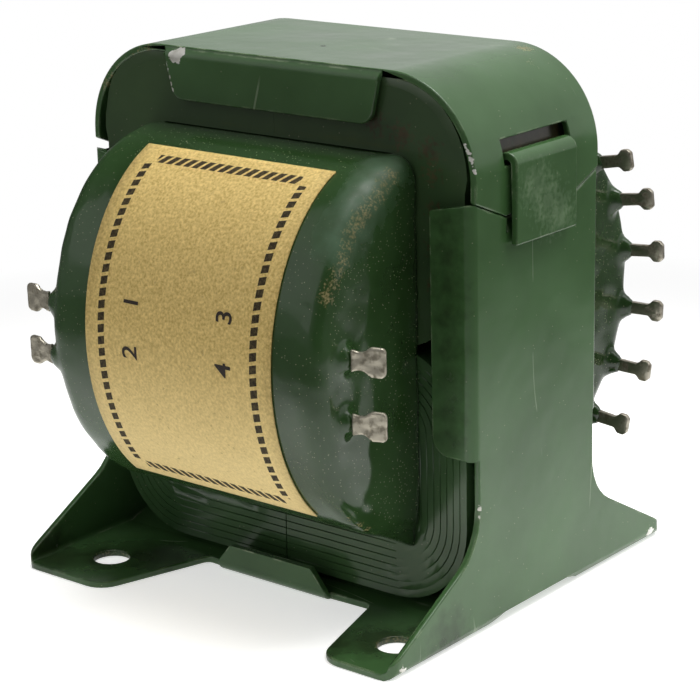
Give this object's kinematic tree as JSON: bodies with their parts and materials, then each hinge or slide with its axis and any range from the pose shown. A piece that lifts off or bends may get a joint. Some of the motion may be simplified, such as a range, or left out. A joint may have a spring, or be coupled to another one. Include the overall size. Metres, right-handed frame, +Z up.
{
  "type": "chassis-mount power transformer",
  "caption": "Small chassis-mount power transformer: wound strip core and enamelled coil between a folded steel bracket with drilled feet and a rounded top cap, with solder lugs.",
  "frame": {"origin": "on the floor under the middle of the four foot holes", "axes": "+X along the front to the right, +Y from the label to the back, +Z up from the feet"},
  "size_m": [0.065, 0.0677, 0.0691],
  "materials": {
    "green_enamel_steel": "glossy green enamel with bare steel chips on the edges",
    "green_enamel_core": "green enamel over the edges of the wound strip",
    "green_enamel_wrap": "thick glossy green enamel over a paper wrap",
    "kraft_paper": "matt tan paper with a dashed border",
    "tinned_lug": "dull tinned brass"
  },
  "bodies": {
    "root": {"mounting_bracket": "green_enamel_steel", "top_cap": "green_enamel_steel", "coil": "green_enamel_wrap", "paper_label": "kraft_paper", "core_lower_left": "green_enamel_core", "core_lower_right": "green_enamel_core", "core_upper_left": "green_enamel_core", "core_upper_right": "green_enamel_core", "front_right_lug_upper": "tinned_lug", "front_right_lug_lower": "tinned_lug", "front_left_lug_upper": "tinned_lug", "front_left_lug_lower": "tinned_lug", "rear_right_lug_1": "tinned_lug", "rear_right_lug_2": "tinned_lug", "rear_right_lug_3": "tinned_lug", "rear_right_lug_4": "tinned_lug", "rear_right_lug_5": "tinned_lug", "rear_right_lug_6": "tinned_lug", "rear_left_lug_1": "tinned_lug", "rear_left_lug_2": "tinned_lug", "rear_left_lug_3": "tinned_lug", "rear_left_lug_4": "tinned_lug", "rear_left_lug_5": "tinned_lug", "rear_left_lug_6": "tinned_lug"}
  },
  "joints": []
}
